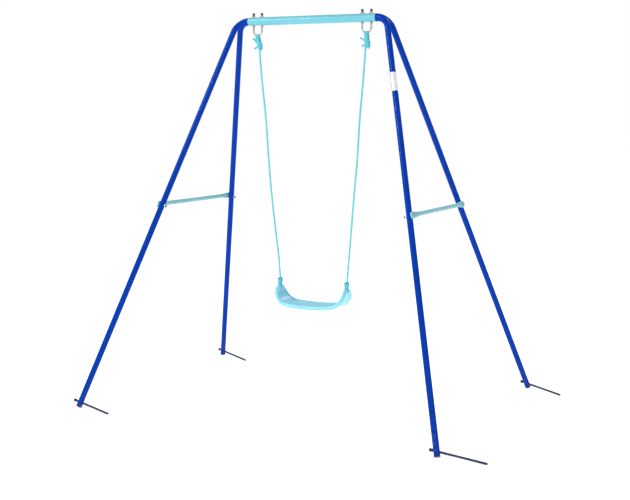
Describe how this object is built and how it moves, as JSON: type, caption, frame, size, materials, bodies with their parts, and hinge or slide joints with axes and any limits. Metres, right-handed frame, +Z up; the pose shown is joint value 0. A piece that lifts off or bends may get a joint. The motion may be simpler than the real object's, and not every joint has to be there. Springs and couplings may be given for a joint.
{
  "type": "swing set",
  "caption": "Free-standing A-frame garden swing: splayed tube legs, a crossbar, and a moulded plastic seat that hangs on two ropes and swings, with ground pegs at the feet.",
  "frame": {"origin": "on the ground under the middle of the crossbar", "axes": "+X along the crossbar, -Y towards the front, +Z up"},
  "size_m": [2.0025, 1.3354, 1.8085],
  "materials": {
    "leg_paint": "glossy deep blue powder coat",
    "bar_paint": "satin pale cyan powder coat",
    "chrome_rod": "bright chrome plate",
    "zinc_steel": "zinc-plated steel",
    "black_plastic": "soft black vinyl cap",
    "foot_cap_plastic": "dark moulded cap",
    "label_film": "white blank film",
    "rope_fibre": "twisted cyan polyethylene rope",
    "seat_plastic": "light blue moulded polyethylene",
    "peg_paint": "dark navy paint"
  },
  "bodies": {
    "frame": {"crossbar": "bar_paint", "upper_leg_front_left": "leg_paint", "upper_leg_rear_left": "leg_paint", "upper_leg_front_right": "leg_paint", "upper_leg_rear_right": "leg_paint", "lower_leg_front_left": "leg_paint", "lower_leg_rear_left": "leg_paint", "lower_leg_front_right": "leg_paint", "lower_leg_rear_right": "leg_paint", "foot_cap_front_left": "foot_cap_plastic", "foot_cap_rear_left": "foot_cap_plastic", "foot_cap_front_right": "foot_cap_plastic", "foot_cap_rear_right": "foot_cap_plastic", "spreader_left": "bar_paint", "spreader_right": "bar_paint", "spreader_bolts": "zinc_steel", "spreader_nuts": "zinc_steel", "spreader_nut_caps": "black_plastic", "hanger_left": "chrome_rod", "hanger_right": "chrome_rod", "hanger_washers": "chrome_rod", "hanger_top_nuts": "chrome_rod", "hanger_under_nuts": "zinc_steel", "hanger_rod_caps": "black_plastic", "leg_label": "label_film"},
    "ropes": {"rope_eye_left": "rope_fibre", "rope_knot_left": "rope_fibre", "rope_left": "rope_fibre", "rope_tail_left": "rope_fibre", "rope_stub_left": "rope_fibre", "rope_eye_right": "rope_fibre", "rope_knot_right": "rope_fibre", "rope_right": "rope_fibre", "rope_tail_right": "rope_fibre", "rope_stub_right": "rope_fibre"},
    "seat": {"seat_knot_left": "rope_fibre", "seat_loop_left": "rope_fibre", "seat_knot_right": "rope_fibre", "seat_loop_right": "rope_fibre", "seat": "seat_plastic"},
    "peg_front_left": {"peg_front_left": "peg_paint", "peg_cap_front_left": "black_plastic"},
    "peg_rear_left": {"peg_rear_left": "peg_paint", "peg_cap_rear_left": "black_plastic"},
    "peg_front_right": {"peg_front_right": "peg_paint", "peg_cap_front_right": "black_plastic"},
    "peg_rear_right": {"peg_rear_right": "peg_paint", "peg_cap_rear_right": "black_plastic"}
  },
  "joints": [
    {"name": "swing_hinge", "type": "hinge", "parent": "frame", "child": "ropes", "pos_m": [0, 0, 1.698], "axis": [1, 0, 0], "range_deg": [-50, 50]},
    {"name": "seat_tilt", "type": "hinge", "parent": "ropes", "child": "seat", "pos_m": [0, 0, 0.554], "axis": [1, 0, 0], "range_deg": [-20, 20]},
    {"name": "peg_slide_front_left", "type": "slide", "parent": "frame", "child": "peg_front_left", "axis": [0.9616, -0.2577, -0.0947], "range_m": [-0.1, 0]},
    {"name": "peg_slide_rear_left", "type": "slide", "parent": "frame", "child": "peg_rear_left", "axis": [0.9167, -0.3891, -0.0914], "range_m": [-0.1, 0]},
    {"name": "peg_slide_front_right", "type": "slide", "parent": "frame", "child": "peg_front_right", "axis": [0.9947, -0.0521, -0.0884], "range_m": [-0.1, 0]},
    {"name": "peg_slide_rear_right", "type": "slide", "parent": "frame", "child": "peg_rear_right", "axis": [0.9098, -0.4051, -0.0905], "range_m": [-0.1, 0]}
  ]
}
